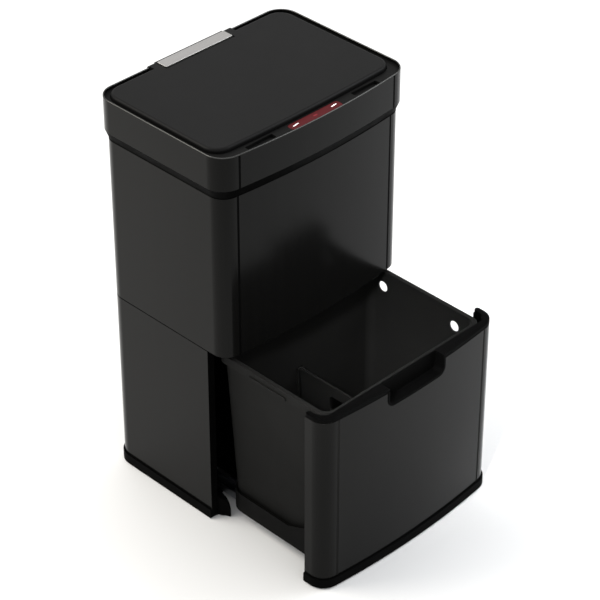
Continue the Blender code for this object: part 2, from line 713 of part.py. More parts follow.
def battery_cells():
    made = []
    for row in range(2):
        for column in range(2):
            x = -0.0804 + CELL_LENGTH / 2 + column * (CELL_LENGTH + GAP)
            z = 0.6936 + CELL_RADIUS + row * (2 * CELL_RADIUS + GAP)
            name = f"battery_cell_{2 * row + column + 1}"
            cell = cylinder(name, (x, 0.1400, z), CELL_RADIUS, CELL_LENGTH, "X", 16)
            made.append(finish(cell, "cell_wrap"))
    return made


def battery_door():
    """The battery door, with a trunnion at each end of its lower edge."""
    door = box("battery_door", (DOOR_LEFT, DOOR_RIGHT), (0.1569, 0.1585), (0.6975, 0.7225))
    middle = ((DOOR_LEFT + DOOR_RIGHT) / 2, DOOR_AXIS_Y, DOOR_AXIS_Z)
    length = DOOR_RIGHT - DOOR_LEFT + 0.0028
    join(door, cylinder("trunnions", middle, TRUNNION_RADIUS, length, "X", 12))
    return finish(door, "grey_plastic")


def power_switch():
    """The switch's knob, held in its slot by a flange inside the wall."""
    knob = bevel(box("power_switch", (0.0470, 0.0530), (0.1555, 0.1583), (0.7045, 0.7115)), 0.0003, 1)
    flange = box("switch_flange", (0.0450, 0.0550), (0.1552, 0.1562), (0.7025, 0.7135))
    return finish(join(knob, flange), "black_plastic")


def sensor_parts():
    """The lens in the control strip, and the board, window and lights under it."""
    outline = rounded(0.0562, -0.1452, -0.1278, 0.0060, 4)
    lens = finish(bevel(prism("sensor_lens", [outline], 0.7300, 0.7331), 0.0005, 1), "red_lens")
    board = box("sensor_board", (-0.0600, 0.0600), (-0.1440, -0.1120), (0.7185, 0.7201))
    window = box("infrared_window", (-0.0080, 0.0080), (-0.1398, -0.1332), (0.7204, 0.7294))
    lights = []
    for side, x in (("left", -0.0420), ("right", 0.0420)):
        light = cylinder(f"indicator_light_{side}", (x, -0.1365, 0.7249), 0.0020, 0.0090, "Z", 12)
        lights.append(finish(light, "light_pipe"))
    return [lens, finish(board, "circuit_green"), finish(window, "black_plastic"), *lights]


def wiring_loom():
    """The cable under the ledge, from the sensor board to the hinge block."""
    x, z = -0.1870, 0.7175
    corner = 0.030
    route = [(-0.0603, -0.1200, z)]
    route += [(u, v, z) for u, v in arc(x + corner, -0.0900, corner, 1.5 * math.pi, math.pi, 5)]
    route += [(u, v, z) for u, v in arc(x + corner, 0.1080, corner, math.pi, math.pi / 2, 5)]
    route += [(-SHOULDER_HALF - GAP, 0.1380, z)]
    curve = bpy.data.curves.new("wiring_loom", "CURVE")
    curve.dimensions = "3D"
    curve.bevel_depth = 0.0014
    curve.bevel_resolution = 1
    curve.use_fill_caps = True
    spline = curve.splines.new("POLY")
    spline.points.add(len(route) - 1)
    for point, place in zip(spline.points, route):
        point.co = (*place, 1)
    guide = bpy.data.objects.new("loom_route", curve)
    PARTS.objects.link(guide)
    graph = bpy.context.evaluated_depsgraph_get()
    mesh = bpy.data.meshes.new_from_object(guide.evaluated_get(graph))
    bpy.data.objects.remove(guide, do_unlink=True)
    bm = bmesh.new()
    bm.from_mesh(mesh)
    bmesh.ops.remove_doubles(bm, verts=bm.verts, dist=1e-6)
    return finish(to_object("wiring_loom", bm), "rubber")


# The lid.


def lid_knuckle(name):
    """A hinge knuckle of the lid, round about the hinge's axis, bored for the pin."""
    start = math.radians(250)
    outline = [(0.1360, LID_TOP), (0.1360, LID_BOTTOM)]
    outline += arc(HINGE_Y, HINGE_Z, KNUCKLE_RADIUS, start, math.radians(450), 12)
    return prism(name, [outline], BLOCK_HALF + 0.0006, SHOULDER_HALF, "X")


def lid_cover():
    """The lid's shell: open underneath, notched round the silver plate, with two knuckles."""
    lid = bevel(prism("lid_cover", [lid_outline(0)], LID_BOTTOM, LID_TOP), 0.0009)
    hollow = lid_outline(0.0025, rear=0.1265)
    cut(lid, prism("lid_hollow", [hollow], 0.7200, LID_TOP - 0.0025))
    notch = BLOCK_HALF + 0.0006
    cut(lid, box("lid_notch", (-notch, notch), (0.1266, 0.1700), (0.7200, 0.7500)))
    right = lid_knuckle("knuckle_right")
    join(lid, right, mirror_x(right, "knuckle_left"))
    for name, x in (("lid_bore_left", -0.0815), ("lid_bore_right", 0.0815)):
        cut(lid, cylinder(name, (x, HINGE_Y, HINGE_Z), BORE_RADIUS, 0.0146, "X", 16))
    return finish(lid, "dark_steel")


def lid_liner():
    outline = lid_outline(0.0028, rear=0.1262)
    return finish(prism("lid_liner", [outline], LID_BOTTOM + GAP, LID_BOTTOM + 0.0025), "black_plastic")


def drive_shaft():
    shaft = cylinder("drive_shaft", (0.0747, HINGE_Y, HINGE_Z), PIN_RADIUS, 0.0270, "X", 16)
    return finish(shaft, "bare_steel")


# Assembly: empties on the joints' axes, each with the pieces that move about it.


def pivot(name, place, parent=None):
    empty = bpy.data.objects.new(name, None)
    PARTS.objects.link(empty)
    empty.location = place
    if parent:
        hang(parent, [empty])
    return empty


def hang(parent, pieces):
    """Parents pieces and their tools to a pivot without moving them."""
    bpy.context.view_layer.update()
    for piece in pieces:
        piece.parent = parent
        piece.matrix_parent_inverse = parent.matrix_world.inverted()
        tools = [modifier.object for modifier in piece.modifiers if modifier.type == "BOOLEAN"]
        hang(parent, tools)


def build():
    origin = pivot("cabinet_origin", (0, 0, 0))
    outers = both_sides(runner_outer, "runner_outer")
    cabinet = [base_frame(), *feet(), lower_cabinet_shell(), opening_frame(), mid_deck()]
    hang(origin, cabinet + [upper_shell(), upper_collar(), upper_bucket(), *outers])

    middles = both_sides(runner_middle, "runner_middle")
    middle_pivots = []
    for side, member in zip(("left", "right"), middles):
        middle = pivot(f"runner_middle_{side}_slide", (0, 0, 0), origin)
        hang(middle, [member])
        middle_pivots.append(middle)

    drawer = pivot("drawer_slide", (0, 0, 0), origin)
    front = [drawer_front_panel(), drawer_liner(), drawer_top_trim(), drawer_base_trim(), drawer_tray()]
    grip = bin_grip("bin_grip_right")
    grips = [finish(grip, "bin_plastic"), finish(mirror_x(grip, "bin_grip_left"), "bin_plastic")]
    hang(drawer, front + [recycling_bin(), *grips, *both_sides(runner_inner, "runner_inner")])
    hang(pivot("divider_slide", (DIVIDER_X, 0, BIN_BOTTOM), drawer), [divider()])

    head = pivot("head_lift", (0, 0, RING_BOTTOM), origin)
    drive = [gear_motor(), hinge_pin(), battery_box(), *battery_cells(), wiring_loom()]
    housing = [head_ring(), head_frame(), hinge_block(), block_cover(), *cover_screws(), hinge_plate()]
    hang(head, housing + drive + sensor_parts())
    hang(pivot("battery_door_hinge", (0, DOOR_AXIS_Y, DOOR_AXIS_Z), head), [battery_door()])
    hang(pivot("power_switch_slide", (0.0500, 0.1573, 0.7080), head), [power_switch()])
    lid = pivot("lid_hinge", (0, HINGE_Y, HINGE_Z), head)
    hang(lid, [lid_cover(), lid_liner(), drive_shaft()])

    # The drawer stands pulled out, and the origin is under the middle of the whole object.
    drawer.location.y -= DRAWER_PULL
    for middle in middle_pivots:
        middle.location.y -= DRAWER_PULL / 2
    front_reach = -HALF_DEPTH - PROUD_SKIRT - DRAWER_PULL
    rear_reach = HINGE_Y + KNUCKLE_RADIUS
    origin.location = (0, -(front_reach + rear_reach) / 2, FOOT_HEIGHT)
    bpy.context.view_layer.update()


build()
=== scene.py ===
"""Looks for the two-tier waste bin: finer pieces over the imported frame, materials, light and camera.

Pieces are drawn in cabinet coordinates, as the frame's solids are: x to the right, y to the back, z up
from the underside of the base skirt, y = 0 midway between the middle of the bowed front and the back.
Those on the drawer are drawn with it shut, and moved out with it.
"""

import json
import math

import bmesh
import bpy
from mathutils import Matrix, Vector

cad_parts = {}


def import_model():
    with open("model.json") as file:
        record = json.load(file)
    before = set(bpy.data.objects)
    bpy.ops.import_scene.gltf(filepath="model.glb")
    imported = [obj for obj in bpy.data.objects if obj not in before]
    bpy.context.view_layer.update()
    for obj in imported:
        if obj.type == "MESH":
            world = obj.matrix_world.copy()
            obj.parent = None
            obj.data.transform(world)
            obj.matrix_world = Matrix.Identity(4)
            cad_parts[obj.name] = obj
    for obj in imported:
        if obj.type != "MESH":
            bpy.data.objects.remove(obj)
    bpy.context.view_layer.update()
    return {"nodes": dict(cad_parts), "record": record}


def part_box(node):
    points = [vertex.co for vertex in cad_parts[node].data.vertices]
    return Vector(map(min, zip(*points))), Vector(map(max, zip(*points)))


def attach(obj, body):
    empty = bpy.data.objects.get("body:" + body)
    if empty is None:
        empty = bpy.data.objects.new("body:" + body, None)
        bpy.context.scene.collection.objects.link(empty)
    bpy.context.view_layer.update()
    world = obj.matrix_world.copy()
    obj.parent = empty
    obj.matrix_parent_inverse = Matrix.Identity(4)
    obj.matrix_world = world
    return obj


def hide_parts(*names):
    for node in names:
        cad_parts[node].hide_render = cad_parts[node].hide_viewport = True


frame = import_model()
NODES = frame["nodes"]
SLOT_OF = {row["node"]: row["material_slot"] for row in frame["record"]["subparts"]}


def low(node):
    return Vector(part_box(node)[0])


def high(node):
    return Vector(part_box(node)[1])


# Driving dimensions, in metres, from the frame.
HALF_WIDTH = high("upper_shell").x
HALF_DEPTH = (high("upper_shell").y - low("upper_shell").y) / 2
CABINET = Vector((0, (high("upper_shell").y + low("upper_shell").y) / 2, low("base_frame").z))
DRAWER_OUT = low("upper_shell").y - low("drawer_front_panel").y
DRAWER = CABINET - Vector((0, DRAWER_OUT, 0))
DRAWER_BODIES = ("drawer", "divider")

# The rest of the body's outline, its sheet metal and its creases.
BOW_HEIGHT = 0.0132
FRONT_RADIUS = 0.0300
REAR_RADIUS = 0.0295
BOW_RADIUS = (HALF_WIDTH**2 + BOW_HEIGHT**2) / (2 * BOW_HEIGHT)
SHEET = 0.0012
SHEET_ROUND = 0.0004
SEAM_GAP = 0.0006
SEAM_HALF = 0.0045
SEAM_HEIGHT = 0.0006
CREASE_WIDTH = 0.0042
CREASE_SHIFT = 0.0050
CREASE_DEPTH = 0.0008
CREASE_END = 0.0004
CORNER_STEPS = 20
BOW_STEPS = 36
ROUND_STEPS = 4

# The steel band of the head, and the notch that the hinge block stands in.
RING_THICK = 0.0015
RING_ROLL = 0.0012
RING_NOTCH_HALF = 0.0915
RING_NOTCH_FRONT = 0.1276
FUNNEL_OUTER = 0.0010
FUNNEL_INNER = 0.0023

# The lid, its knuckles, the plate behind it and the lens in front of it.
LID_BOW_RADIUS = 3.66
LID_CORNER = 0.030
LID_REAR = 0.1445
LID_UNDERSIDE = 0.7297
LID_ROUND = 0.0056
LID_WALL = 0.0025
LID_NOTCH_FRONT = 0.1266
PLATE_FRONT = 0.1304
PLATE_RAISED = 0.0014
HINGE_Y = 0.1520
HINGE_Z = 0.7340
KNUCKLE_RADIUS = 0.0069
KNUCKLE_ENDS = (0.0763, 0.0910)
BORE_RADIUS = 0.0021
BORE_ENDS = (0.0742, 0.0888)
MARK_X = 0.0425
MARK_SHIFT = 0.0027
MARK_RAISED = 0.0001

# The handle pocket: its opening in the steel, its block and its hollow, as half width, bottom and radius.
POCKET_OPENING = (0.0682, 0.3135, 0.015)
POCKET_BLOCK = (0.0679, 0.3138, 0.0147)
POCKET_HOLLOW = (0.0640, 0.3177, 0.0108)
FRONT_CUT = (-0.16, -0.12)

# The battery door's ridges and the switch's.
DOOR_X = -0.0300
DOOR_RIDGES = 4
SWITCH_X = 0.0500
SWITCH_RIDGE_Z = (0.7052, 0.7108)

# The recycling bin.
BAG_HOLE_Z = 0.3130
BAG_HOLE_RADIUS = 0.0100
BAG_HOLES_Y = (0.0950, -0.0695)
RIM_WIDTH = 0.0063
RIM_CORNER = 0.0200
BIN_SKIRT = 0.3280
BIN_WALL = 0.0025
TAPER = 0.0400
DIVIDER_X = -0.0050
RIB_TOP = 0.2245


def cabinet_z(node):
    """A node's lowest and highest z in cabinet coordinates."""
    return low(node).z - CABINET.z, high(node).z - CABINET.z


# Outlines: lists of points in the plane, anticlockwise.


def arc(centre_u, centre_v, radius, start, end, steps):
    turns = [start + (end - start) * step / steps for step in range(steps + 1)]
    return [(centre_u + radius * math.cos(a), centre_v + radius * math.sin(a)) for a in turns]


def rounded(half, near, far, radius, steps=10):
    """A rectangle with round corners, from -half to half and from near to far."""
    u, v_near, v_far, quarter = half - radius, near + radius, far - radius, math.pi / 2
    points = arc(u, v_far, radius, 0, quarter, steps)
    points += arc(-u, v_far, radius, quarter, 2 * quarter, steps)
    points += arc(-u, v_near, radius, 2 * quarter, 3 * quarter, steps)
    return points + arc(u, v_near, radius, 3 * quarter, 4 * quarter, steps)


def crease(inset, depth):
    """The right front crease, on the bow beside the corner: its two edges at inset, then its floor,
    deeper by depth. The corner's centre and the bow's end come with it."""
    centre_y = BOW_RADIUS - HALF_DEPTH
    corner_x = HALF_WIDTH - FRONT_RADIUS
    corner_y = centre_y - math.sqrt((BOW_RADIUS - FRONT_RADIUS) ** 2 - corner_x**2)
    tangent = math.atan2(corner_y - centre_y, corner_x)
    middle, spread = tangent - CREASE_SHIFT / BOW_RADIUS, CREASE_WIDTH / 2 / BOW_RADIUS
    rows = [
        [
            (radius * math.cos(angle), centre_y + radius * math.sin(angle))
            for angle in (middle - spread, middle + spread)
        ]
        for radius in (BOW_RADIUS - inset, BOW_RADIUS - inset - depth)
    ]
    return rows, (corner_x, corner_y, tangent), (centre_y, middle - spread)


def body_front(inset, depth=0.0):
    """The bowed front of the body from left to right, moved in by inset, with a crease at each corner."""
    ((edge_bow, edge_corner), (floor_bow, floor_corner)), corner, bow = crease(inset, depth)
    corner_x, corner_y, tangent = corner
    centre_y, on_bow = bow
    right = [edge_bow, floor_bow, floor_corner, edge_corner]
    right += arc(corner_x, corner_y, FRONT_RADIUS - inset, tangent, 0, CORNER_STEPS)
    middle = arc(0, centre_y, BOW_RADIUS - inset, -math.pi - on_bow, on_bow, BOW_STEPS)[1:-1]
    return [(-x, y) for x, y in reversed(right)] + middle + right


def body_rear(inset):
    """The back of the body from its right side to its left side, moved in by inset."""
    x, y, radius = HALF_WIDTH - REAR_RADIUS, HALF_DEPTH - REAR_RADIUS, REAR_RADIUS - inset
    points = arc(x, y, radius, 0, math.pi / 2, CORNER_STEPS)
    return points + arc(-x, y, radius, math.pi / 2, math.pi, CORNER_STEPS)


def body_outline(inset, depth=0.0):
    return body_front(inset, depth) + body_rear(inset)


def creased(path, limit):
    """The path with its creases, for every inset up to limit."""
    return lambda inset: path(inset, CREASE_DEPTH if inset < limit else 0.0)


def lid_outline(inset, rear=LID_REAR):
    """The lid: a slightly bowed front, square sides and round corners."""
    half = high("lid_cover").x - inset
    bow, radius = LID_BOW_RADIUS - inset, LID_CORNER - inset
    centre_y = low("lid_cover").y - CABINET.y + inset + bow
    corner_x = half - radius
    corner_y = centre_y - math.sqrt((bow - radius) ** 2 - corner_x**2)
    tangent = math.atan2(corner_y - centre_y, corner_x)
    mirrored = -math.pi - tangent
    points = arc(-corner_x, corner_y, radius, -math.pi, mirrored, 14)[:-1]
    points += arc(0, centre_y, bow, mirrored, tangent, 16)[:-1]
    points += arc(corner_x, corner_y, radius, tangent, 0, 14)
    rear_y = rear - inset - radius
    points += arc(corner_x, rear_y, radius, 0, math.pi / 2, 14)
    return points + arc(-corner_x, rear_y, radius, math.pi / 2, math.pi, 14)


def open_path(path, end_y):
    """A path function with a straight run at each end, cut off at end_y."""

    def run(inset):
        points = path(inset)
        side = math.copysign(abs(points[0][0]), points[0][0])
        return [(side, end_y)] + points + [(-side, end_y)]

    return run


# Meshes.


def new_piece(name, bm, body, finish, replaces=(), slot=None):
    """Makes an object of the mesh, moves it to its body's place and hangs it on that body."""
    bmesh.ops.recalc_face_normals(bm, faces=bm.faces)
    if bm.calc_volume(signed=True) < 0:
        bmesh.ops.reverse_faces(bm, faces=bm.faces)
    bm.transform(Matrix.Translation(DRAWER if body in DRAWER_BODIES else CABINET))
    mesh = bpy.data.meshes.new(name)
    bm.to_mesh(mesh)
    bm.free()
    piece = bpy.data.objects.new(name, mesh)
    bpy.context.scene.collection.objects.link(piece)
    mesh.materials.append(finish)
    smooth(piece)
    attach(piece, body)
    if replaces:
        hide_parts(*replaces)
        slot = slot or SLOT_OF[replaces[0]]
    return piece


def smooth(piece, angle=35):
    """Smooth shading that keeps real edges, with flat faces staying flat beside their rounded edges."""
    piece.data.shade_smooth()
    piece.data.set_sharp_from_angle(angle=math.radians(angle))
    normals = piece.modifiers.new("flat_faces", "WEIGHTED_NORMAL")
    normals.keep_sharp = True


def skin(rings, closed_path=True, closed_profile=True):
    """Quads between rings of equal length; the ends are capped where path or profile is open."""
    bm = bmesh.new()
    loops = [[bm.verts.new(point) for point in ring] for ring in rings]
    count = len(loops[0])
    pairs = list(zip(loops, loops[1:]))
    if closed_profile:
        pairs.append((loops[-1], loops[0]))
    for lower, upper in pairs:
        for i in range(0 if closed_path else 1, count):
            bm.faces.new((lower[i - 1], lower[i], upper[i], upper[i - 1]))
    if not closed_profile:
        bm.faces.new(loops[0])
        bm.faces.new(loops[-1])
    if not closed_path:
        bm.faces.new([loop[0] for loop in loops])
        bm.faces.new([loop[-1] for loop in loops])
    return bm


def edge_profile(outer, inner, bottom, top, radius, steps=ROUND_STEPS):
    """A wall's section as (inset, z) pairs: outer and inner insets, with round edges."""
    corners = (
        (outer + radius, bottom + radius, math.pi),
        (inner - radius, bottom + radius, 1.5 * math.pi),
        (inner - radius, top - radius, 0),
        (outer + radius, top - radius, 0.5 * math.pi),
    )
    points = []
    for inset, z, start in corners:
        points += arc(inset, z, radius, start, start + math.pi / 2, steps)
    return points


def wall(name, path, profile, body, finish, closed=True, **links):
    """A wall whose section, in (inset, z), is carried along a path."""
    rings = [[(x, y, z) for x, y in path(inset)] for inset, z in profile]
    return new_piece(name, skin(rings, closed), body, finish, **links)


def combine(piece, operation, tools):
    """Applies a Boolean with each tool in turn, and removes the tools."""
    for tool in tools:
        piece.modifiers.clear()
        modifier = piece.modifiers.new("combine", "BOOLEAN")
        modifier.operation = operation
        modifier.object = tool
        settle(piece)
        bpy.data.objects.remove(tool, do_unlink=True)
    return piece


def cut(piece, *tools):
    return combine(piece, "DIFFERENCE", tools)


def join(piece, *tools):
    return combine(piece, "UNION", tools)


def soften(piece, width, segments=3, angle=40):
    """Rounds every edge sharper than angle."""
    modifier = piece.modifiers.new("soften", "BEVEL")
    modifier.width = width
    modifier.segments = segments
    modifier.limit_method = "ANGLE"
    modifier.angle_limit = math.radians(angle)
    modifier.use_clamp_overlap = True
    piece.modifiers.move(len(piece.modifiers) - 1, 0)
    settle(piece)
    return piece


def settle(piece):
    """Applies the piece's modifiers and shades it again."""
    bpy.context.view_layer.update()
    graph = bpy.context.evaluated_depsgraph_get()
    mesh = bpy.data.meshes.new_from_object(piece.evaluated_get(graph))
    old = piece.data
    piece.modifiers.clear()
    piece.data = mesh
    bpy.data.meshes.remove(old)
    mesh.name = piece.name
    smooth(piece)


def prism(outline, bottom, top, axis="Z"):
    """An outline extruded along an axis. The outline is x, y along Z; y, z along X; x, z along Y."""
    place = {
        "X": lambda u, v, w: (w, u, v),
        "Y": lambda u, v, w: (u, w, v),
        "Z": lambda u, v, w: (u, v, w),
    }[axis]
    return skin([[place(u, v, w) for u, v in outline] for w in (bottom, top)], closed_profile=False)


def tool(outline, bottom, top, axis="Z", body="cabinet"):
    """A prism for a Boolean, in the body's place."""
    bm = prism(outline, bottom, top, axis)
    bmesh.ops.recalc_face_normals(bm, faces=bm.faces)
    if bm.calc_volume(signed=True) < 0:
        bmesh.ops.reverse_faces(bm, faces=bm.faces)
    bm.transform(Matrix.Translation(DRAWER if body in DRAWER_BODIES else CABINET))
    mesh = bpy.data.meshes.new("tool")
    bm.to_mesh(mesh)
    bm.free()
    made = bpy.data.objects.new("tool", mesh)
    bpy.context.scene.collection.objects.link(made)
    return made


def box_outline(u, v):
    return [(u[0], v[0]), (u[1], v[0]), (u[1], v[1]), (u[0], v[1])]


def pad(name, outline_at, bottom, top, radius, body, finish, steps=4, **links):
    """A solid with a flat base and a round top edge; outline_at gives its outline moved in by an inset."""
    profile = [(0, bottom)] + [
        (radius - radius * math.cos(a), top - radius + radius * math.sin(a))
        for a in (math.pi / 2 * step / steps for step in range(steps + 1))
    ]
    rings = [[(x, y, z) for x, y in outline_at(inset)] for inset, z in profile]
    return new_piece(name, skin(rings, closed_profile=False), body, finish, **links)


def oblong(x, y, half_x, half_y, radius, steps=6):
    """An outline function for pad: a round-cornered rectangle about a point."""

    def run(inset):
        outline = rounded(half_x - inset, y - half_y + inset, y + half_y - inset, radius - inset, steps)
        return [(u + x, v) for u, v in outline]

    return run


# Materials.


def new_material(name, colour, roughness, metallic=0.0, specular=0.5, coat=0.0, coat_roughness=0.1):
    made = bpy.data.materials.new(name)
    made.use_nodes = True
    shader = made.node_tree.nodes["Principled BSDF"]
    shader.inputs["Base Color"].default_value = (*colour, 1)
    shader.inputs["Roughness"].default_value = roughness
    shader.inputs["Metallic"].default_value = metallic
    shader.inputs["Specular IOR Level"].default_value = specular
    shader.inputs["Coat Weight"].default_value = coat
    shader.inputs["Coat Roughness"].default_value = coat_roughness
    return made


def noise(made, scale, detail=3.0, stretch=(1, 1, 1)):
    """A noise in the piece's own metres; stretch divides its scale along each axis."""
    nodes, links = made.node_tree.nodes, made.node_tree.links
    place, texture = nodes.new("ShaderNodeTexCoord"), nodes.new("ShaderNodeTexNoise")
    mapping = nodes.new("ShaderNodeMapping")
    mapping.inputs["Scale"].default_value = [scale / s for s in stretch]
    texture.inputs["Scale"].default_value = 1.0
    texture.inputs["Detail"].default_value = detail
    links.new(place.outputs["Object"], mapping.inputs["Vector"])
    links.new(mapping.outputs["Vector"], texture.inputs["Vector"])
    return texture.outputs["Fac"]


def ranged(made, value, start, end):
    """Spreads the middle half of a noise over a range."""
    node = made.node_tree.nodes.new("ShaderNodeMapRange")
    node.inputs["From Min"].default_value = 0.25
    node.inputs["From Max"].default_value = 0.75
    node.inputs["To Min"].default_value = start
    node.inputs["To Max"].default_value = end
    made.node_tree.links.new(value, node.inputs["Value"])
    return node.outputs["Result"]


def shade(made, value, darker, lighter):
    """Drives the base colour between two tones."""
    node = made.node_tree.nodes.new("ShaderNodeMix")
    node.data_type = "RGBA"
    node.inputs["A"].default_value = (*darker, 1)
    node.inputs["B"].default_value = (*lighter, 1)
    made.node_tree.links.new(value, node.inputs["Factor"])
    shader = made.node_tree.nodes["Principled BSDF"]
    made.node_tree.links.new(node.outputs["Result"], shader.inputs["Base Color"])


def rough(made, value, start, end):
    shader = made.node_tree.nodes["Principled BSDF"]
    made.node_tree.links.new(ranged(made, value, start, end), shader.inputs["Roughness"])


def bump(made, value, depth, strength=1.0):
    """Raises the surface by up to depth metres."""
    node = made.node_tree.nodes.new("ShaderNodeBump")
    node.inputs["Distance"].default_value = depth
    node.inputs["Strength"].default_value = strength
    made.node_tree.links.new(value, node.inputs["Height"])
    shader = made.node_tree.nodes["Principled BSDF"]
    made.node_tree.links.new(node.outputs["Normal"], shader.inputs["Normal"])


def toned(colour, factor):
    return tuple(channel * factor for channel in colour)


def sheet_steel(name, colour, streak=(1, 1, 90)):
    """Dark coated sheet: faint streaks along the rolling direction, and a slow change of gloss."""
    made = new_material(name, colour, 0.24, metallic=0.45, specular=0.085)
    streaks = ranged(made, noise(made, 70, 2, streak), 0, 1)
    shade(made, streaks, toned(colour, 0.94), toned(colour, 1.06))
    rough(made, noise(made, 150, 3, streak), 0.17, 0.22)
    bump(made, noise(made, 2600, 2, streak), 0.000002, 0.10)
    return made


def moulding(name, colour, roughness, specular, grain=1800, depth=0.00003, spread=0.045):
    """Moulded plastic with a spark-eroded grain and faint flow marks. Its gloss varies by spread."""
    made = new_material(name, colour, roughness, specular=specular)
    shade(made, ranged(made, noise(made, 14, 3), 0, 1), toned(colour, 0.92), toned(colour, 1.08))
    rough(made, noise(made, 40, 4), roughness - spread, roughness + spread)
    bump(made, noise(made, grain, 2), depth, 0.35)
    return made


def brushed(name, colour, streak, roughness=0.34):
    """Bare brushed metal."""
    made = new_material(name, colour, roughness, metallic=1.0)
    shade(made, noise(made, 900, 3, streak), toned(colour, 0.90), toned(colour, 1.06))
    rough(made, noise(made, 1500, 2, streak), roughness - 0.08, roughness + 0.10)
    bump(made, noise(made, 2500, 2, streak), 0.00001, 0.2)
    return made


def lens_red(name, colour):
    made = new_material(name, colour, 0.30, specular=0.045, coat=0.01, coat_roughness=0.10)
    shade(made, noise(made, 60, 2), toned(colour, 0.85), toned(colour, 1.15))
    return made


def glow(name, colour, strength):
    """A light pipe or a lit mark, slightly uneven across its face."""
    made = new_material(name, colour, 0.3)
    shader = made.node_tree.nodes["Principled BSDF"]
    shade(made, noise(made, 400, 2), toned(colour, 0.9), colour)
    shader.inputs["Emission Color"].default_value = (*colour, 1)
    shader.inputs["Emission Strength"].default_value = strength
    return made


STEEL = sheet_steel("coated_steel", (0.0068, 0.0068, 0.0065))
EDGE = brushed("polished_edge", (0.065, 0.065, 0.063), (1, 1, 1), 0.22)
LID = moulding("lid_satin", (0.0058, 0.0058, 0.0058), 0.42, 0.075, 2200, 0.00001, 0.012)
BLACK = moulding("black_moulding", (0.0017, 0.0017, 0.0017), 0.50, 0.012)
TRAY = moulding("tray_moulding", (0.0040, 0.0040, 0.0039), 0.50, 0.025)
PANEL = moulding("panel_moulding", (0.0062, 0.0062, 0.0061), 0.46, 0.05)
BIN = moulding("bin_moulding", (0.0102, 0.0102, 0.0098), 0.50, 0.020, 1500)
SILVER = brushed("silver_plate", (0.45, 0.44, 0.43), (40, 1, 1))
ZINC = brushed("zinc_steel", (0.46, 0.47, 0.49), (1, 60, 1), 0.30)
RUBBER = moulding("rubber", (0.012, 0.012, 0.012), 0.80, 0.3, 900, 0.00006)
LENS = lens_red("lens_red", (0.075, 0.009, 0.011))
SPOT = lens_red("lens_spot", (0.200, 0.022, 0.030))
BOARD = moulding("board_green", (0.015, 0.090, 0.035), 0.40, 0.5, 700)
WRAP = moulding("cell_wrap", (0.10, 0.12, 0.16), 0.30, 0.5)
PIPE = glow("light_pipe", (0.92, 0.93, 0.95), 0.6)
MARK = glow("lit_mark", (1.0, 0.97, 0.96), 1.0)

FINISH_OF_SLOT = {
    "dark_steel": STEEL,
    "lid_black": LID,
    "black_plastic": BLACK,
    "grey_plastic": PANEL,
    "bin_plastic": BIN,
    "silver": SILVER,
    "bare_steel": ZINC,
    "red_lens": LENS,
    "rubber": RUBBER,
    "cell_wrap": WRAP,
    "circuit_green": BOARD,
    "light_pipe": PIPE,
}
# These nodes differ from the rest of their slot.
FINISH_OF_NODE = {"drawer_tray": TRAY}


def dress_frame():
    """Gives each CAD node its material and smooth shading across its facets."""
    for name, node in NODES.items():
        node.data.materials.clear()
        node.data.materials.append(FINISH_OF_NODE.get(name) or FINISH_OF_SLOT[SLOT_OF[name]])
        weld = node.modifiers.new("weld", "WELD")
        weld.merge_threshold = 0.00001
        node.data.shade_smooth()
        split = node.modifiers.new("edges", "EDGE_SPLIT")
        split.split_angle = math.radians(32)


# Sheet-metal skins.


def crease_shade_fills(name, inset, bottom, top, body, finish=BLACK):
    """Dark fills in a skin's two front creases: painted shade, standing in for the dark line that
    reflection and shade draw along each crease.
    """
    (_, (bow_floor, corner_floor)), _, _ = crease(inset, CREASE_DEPTH)
    (_, (bow_face, corner_face)), _, _ = crease(inset, CREASE_DEPTH / 3)
    right = [bow_face, corner_face, corner_floor, bow_floor]
    for side, sign in (("left", -1), ("right", 1)):
        outline = [(sign * x, y) for x, y in right]
        new_piece(f"{name}_{side}", prism(outline, bottom, top), body, finish, slot="black_plastic")


def head_ring():
    """The steel band with a rolled top edge, and the black funnel under it."""
    bottom, top = cabinet_z("head_ring")
    outer = HALF_WIDTH - high("head_ring").x
    path = creased(body_outline, outer + RING_THICK / 2)
    profile = edge_profile(outer, outer + RING_THICK, bottom, top - RING_ROLL, 0.0003)
    ring = wall("ring_skin", path, profile, "head", STEEL, replaces=["head_ring"])
    notch = box_outline((-RING_NOTCH_HALF, RING_NOTCH_HALF), (RING_NOTCH_FRONT, 0.1700))
    cut(ring, tool(notch, 0.6890, 0.7600))
    profile = arc(outer + RING_ROLL + 0.00005, top - RING_ROLL, RING_ROLL, 0, 2 * math.pi, 16)[:-1]
    edge = wall("ring_edge", body_outline, profile, "head", EDGE, slot="dark_steel")
    cut(edge, tool(notch, 0.6890, 0.7600))
    # Black fills in the ring's two front creases: painted shade along them.
    crease_shade_fills("ring_crease_shade", outer, bottom + CREASE_END, top - RING_ROLL - CREASE_END, "head")
    low_z = high("upper_shell").z - CABINET.z + 0.0004
    high_z = bottom - 0.0003
    profile = [(FUNNEL_INNER, low_z), (FUNNEL_OUTER, low_z)]
    profile += [(outer + 0.0004, high_z), (FUNNEL_INNER, high_z)]
    wall("head_funnel", body_outline, profile, "head", BLACK, slot="black_plastic")


def upper_skin():
    """The upper body's steel wrap."""
    bottom, top = cabinet_z("upper_shell")
    profile = edge_profile(0, SHEET, bottom + SEAM_GAP, top, SHEET_ROUND)
    path = creased(body_outline, SHEET / 2)
    wall("upper_skin", path, profile, "cabinet", STEEL, replaces=["upper_shell"])
    # Black fills in the upper wrap's two front creases: painted shade along them.
    crease_shade_fills("upper_crease_shade", 0, bottom + CREASE_END, top - CREASE_END, "cabinet")


